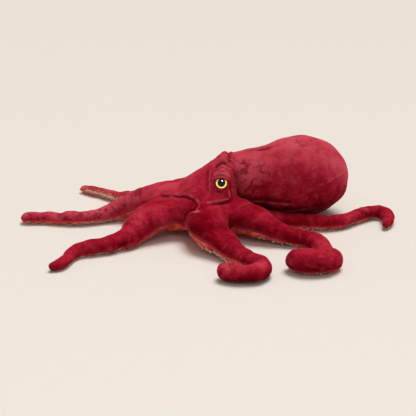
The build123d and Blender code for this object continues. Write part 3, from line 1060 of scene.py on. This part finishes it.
centre = skin.v[skin.t].mean(1)
which, at_s = label_arms(centre)
outside = np.linalg.norm(centre[:, :2], axis=1) > BODY_CUT_R
is_satin = skin.data["satin"][skin.t].mean(1) < 0
hinge_of = np.array([line.hinge_s for line in LINES.values()])[which]
segment = np.where(at_s < hinge_of - CUT_HALF, 0, np.where(at_s < hinge_of + CUT_HALF, 1, 2))
labels = np.where(outside, 2 + which * 6 + segment * 2, 0) + is_satin
PARTS = ("root", "knuckle", "tip")
names = ["crown_velour", "crown_satin"]
for name in LINES:
    for part in PARTS:
        names += [f"{name}_{part}_velour", f"{name}_{part}_satin"]
materials = {name: SATIN if name.endswith("satin") else VELOUR for name in names}
skin_pieces = skin.pieces(labels, names, materials)

mantle.brushed_flat(6)
mantle_piece = mantle.whole("mantle_velour", VELOUR)


# ---- Riding on the frame -------------------------------------------------------------------------


def settle(obj, name, part):
    """An arm's tip piece moves with the arm's tip; its root and knuckle pieces only have their place baked in
    and follow no body.
    """
    if part == "root":
        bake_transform(obj)
    elif part == "knuckle":
        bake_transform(obj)
    else:
        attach(obj, f"{name}_tip")


for name in LINES:
    for part in PARTS:
        for cloth_name in ("velour", "satin"):
            piece = skin_pieces.get(f"{name}_{part}_{cloth_name}")
            if piece is None:
                continue
            settle(piece, name, part)
            if part != "knuckle":
                kinds = ["cover", "fill"] if cloth_name == "velour" else ["underside"]
                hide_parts(*[f"{name}_{part}_{kind}" for kind in kinds])

crown_velour, crown_satin = skin_pieces["crown_velour"], skin_pieces["crown_satin"]
for piece, cloth_name, stood_for in (
    (crown_velour, "velour", ["crown_cover", "crown_fill"]),
    (crown_satin, "satin", ["belly_panel"]),
):
    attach(piece, "crown")
    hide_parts(*stood_for)

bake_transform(mantle_piece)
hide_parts("mantle_upper_cover", "mantle_lower_cover", "mantle_fill")

# ---- Eyes ----------------------------------------------------------------------------------------

LENS_R, LENS_RISE, LENS_LIFT = 8.0, 4.5, 0.15
PUPIL_R = 5.5


def dome_mesh(centre, axis, rings=14, sides=48):
    """A smooth lens: a shallow dome with a flat back just in front of the iris."""
    right, up = upright(axis)
    sphere_r = (LENS_R**2 + LENS_RISE**2) / (2 * LENS_RISE)
    reach = math.asin(LENS_R / sphere_r)
    points = [centre + axis * LENS_LIFT, centre + axis * LENS_RISE]
    faces = []
    for ring in range(rings):
        tilt = reach * (rings - ring) / rings
        height = LENS_LIFT + (sphere_r * math.cos(tilt) - sphere_r + LENS_RISE) * (1 - LENS_LIFT / LENS_RISE)
        for k in range(sides):
            angle = 2 * math.pi * k / sides
            outward = right * math.cos(angle) + up * math.sin(angle)
            points.append(centre + outward * sphere_r * math.sin(tilt) + axis * height)
    for k in range(sides):
        following = (k + 1) % sides
        faces.append((0, 2 + following, 2 + k))
        for ring in range(rings - 1):
            a, b = 2 + ring * sides, 2 + (ring + 1) * sides
            faces.append((a + k, a + following, b + following, b + k))
        last = 2 + (rings - 1) * sides
        faces.append((1, last + k, last + following))
    return np.array(points), faces


lens = lens_material()
for side_name in ("left", "right"):
    points, faces = dome_mesh(EYE_BACK[side_name], EYE_AXIS[side_name])
    piece = make_object(f"{side_name}_lens_dome", points, faces)
    piece.data.polygons.foreach_set("use_smooth", [True] * len(faces))
    piece.data.set_sharp_from_angle(angle=math.radians(40))
    piece.data.materials.append(lens)
    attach(piece, "crown")
    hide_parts(f"{side_name}_eye_lens")
iris = iris_material([(EYE[s], Vector(EYE_AXIS[s])) for s in ("left", "right")], PUPIL_R, LENS_R)
for node_name, material in (("eye_backs", iris), ("eye_washers", washer_material())):
    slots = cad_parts[node_name].data.materials
    slots.clear()
    slots.append(material)


# Each roll of a lid: its height over the eye's middle, bow, radius, depth and half length
LID_ROLLS = ((4.2, 2.6, 2.4, 1.6, 9.8), (8.4, 3.0, 3.2, 0.6, 9.2), (11.5, 4.4, 4.2, -1.4, 7.0))


def lid_field_for(centre, right, up, out):
    """Two padded rolls of velour over the top of an eye, backed by a pad that runs into the head."""

    def field(points):
        q = points - centre
        u, v, w = q @ right, q @ up, q @ out
        d = np.full(len(points), FAR)
        for rise, bow, radius, depth, half in LID_ROLLS:
            uu = np.clip(u, -half, half)
            line_v = rise + bow * (1 - (uu / half) ** 2)
            line_w = depth - 2.2 * (uu / half) ** 2
            gap = np.sqrt((u - uu) ** 2 + (v - line_v) ** 2 + (w - line_w) ** 2) - radius
            d = smin(d, gap, 0.8)
        return d

    return field


for side_name in ("left", "right"):
    out = EYE_AXIS[side_name]
    right, up = upright(out)
    centre = EYE[side_name]
    verts, quads = surface(lid_field_for(centre, right, up, out), centre - 24, centre + 24, LID_PITCH)
    lid = Skin(verts, np.vstack([quads[:, [0, 1, 2]], quads[:, [0, 2, 3]]]))
    lid.v = neighbours_mean(lid.v, lid.t, 2)
    # Painted shade, deeper towards the back of the lid, and the lid gets more than the full painted light
    lid.data["dark"] = np.clip(0.15 - ((lid.v - centre) @ out) * 0.12, 0, 0.5)
    lid.brushed_flat(0)
    lid.data["brush"] = np.full(len(lid.v), 1.15)
    piece = lid.whole(f"{side_name}_eyelid_roll", VELOUR)
    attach(piece, "crown")
    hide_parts(f"{side_name}_eyelid")

# ---- Suckers -------------------------------------------------------------------------------------


def sucker_mesh(places):
    """Small cups, each with a rolled rim, as one mesh."""
    # distance from the middle and height at points from the hollow to the rim, in radii
    profile = [(0.0, 0.25), (0.45, 0.30), (0.70, 0.85), (1.0, 0.60), (1.08, 0.0)]
    sides = 10
    all_verts, all_faces = [], []
    for middle, right, up, out, radius in places:
        first = len(all_verts)
        all_verts.append(middle + out * profile[0][1] * radius * 0.8)
        for r, w in profile[1:]:
            for k in range(sides):
                angle = 2 * math.pi * k / sides
                outward = right * math.cos(angle) + up * math.sin(angle)
                all_verts.append(middle + outward * r * radius + out * w * radius * 0.8)
        for k in range(sides):
            all_faces.append((first, first + 1 + k, first + 1 + (k + 1) % sides))
        for ring in range(len(profile) - 2):
            a, b = first + 1 + ring * sides, first + 1 + (ring + 1) * sides
            for k in range(sides):
                all_faces.append((a + k, b + k, b + (k + 1) % sides, a + (k + 1) % sides))
    points = np.array(all_verts)
    points[:, 2] = np.maximum(points[:, 2], 0.15)
    return points, all_faces


SUCKER_R, SUCKER_SHRINKS = 2.9, 1.3  # at the root, and how much smaller at the tip
FIRST_SUCKER_S, SUCKER_STEP = 14.0, 2.35  # the step is in radii
ROW_ANGLE = math.radians(30.0)  # the two rows lie this far to either side of straight down

for name, line in LINES.items():
    groups = {part: [] for part in PARTS}
    s = FIRST_SUCKER_S
    while s < line.length - 8:
        middle, across, top = (a[0] for a in line.at(s)[:3])
        radius = SUCKER_R - SUCKER_SHRINKS * (s / line.length)
        for row in (-1, 1):
            out = -top * math.cos(ROW_ANGLE) + across * row * math.sin(ROW_ANGLE)
            place, normal, _, _ = skin_tree.ray_cast(Vector(middle), Vector(out))
            if place is None:
                continue
            out = np.array(normal)
            place = np.array(place) - out * 0.1 * radius
            right = unit(np.cross(out, np.cross(across, top)))
            part = "root" if s < line.hinge_s - CUT_HALF else "knuckle"
            part = "tip" if s >= line.hinge_s + CUT_HALF else part
            groups[part].append((place, right, np.cross(right, out), out, radius))
        s += SUCKER_STEP * radius
    for part, places in groups.items():
        if not places:
            continue
        points, faces = sucker_mesh(places)
        obj = make_object(f"{name}_{part}_suckers", points, faces)
        obj.data.materials.append(SUCKER)
        for polygon in obj.data.polygons:
            polygon.use_smooth = True
        settle(obj, name, part)

# ---- Floor, light and camera ---------------------------------------------------------------------

floor_mesh = bpy.data.meshes.new("floor")
floor_mesh.from_pydata([(-6, -6, 0), (6, -6, 0), (6, 6, 0), (-6, 6, 0)], [], [(0, 1, 2, 3)])
floor = bpy.data.objects.new("floor", floor_mesh)
bpy.context.scene.collection.objects.link(floor)
floor_mesh.materials.append(floor_material())

scene = bpy.context.scene
scene.view_settings.view_transform = "Standard"
world = bpy.data.worlds.new("studio")
world.use_nodes = True
background = world.node_tree.nodes["Background"]
background.inputs["Color"].default_value = (0.860, 0.800, 0.730, 1)
background.inputs["Strength"].default_value = 0.37
scene.world = world


def add_light(name, kind, energy):
    obj = bpy.data.objects.new(name, bpy.data.lights.new(name, kind))
    obj.data.energy = energy
    scene.collection.objects.link(obj)
    return obj


key = add_light("key", "SUN", 2.45)
key.data.angle = math.radians(35)
key.visible_glossy = False
key.rotation_euler = (math.radians(-16), math.radians(10), 0)

# Only seen as the small reflections in the eyes
catch = add_light("catch", "AREA", 75.0)
catch.data.shape, catch.data.size = "DISK", 0.7
catch.visible_diffuse = False
catch.location = (0.186, -1.07, 1.41)
catch.rotation_mode = "QUATERNION"
aim = Vector((0.016, -0.03, 0.07)) - catch.location
catch.rotation_quaternion = aim.to_track_quat("-Z", "Y")

camera_data = bpy.data.cameras.new("camera")
camera_data.lens = 111
camera_data.sensor_width = 36
camera = bpy.data.objects.new("camera", camera_data)
scene.collection.objects.link(camera)
# How far off the camera is, how steeply it looks down, and the height it looks at
away, rise, aim_z = 1.8, math.radians(20), 0.025
camera.location = (0.0, -away * math.cos(rise), aim_z + away * math.sin(rise))
camera.rotation_euler = (math.radians(70), 0, 0)
scene.camera = camera
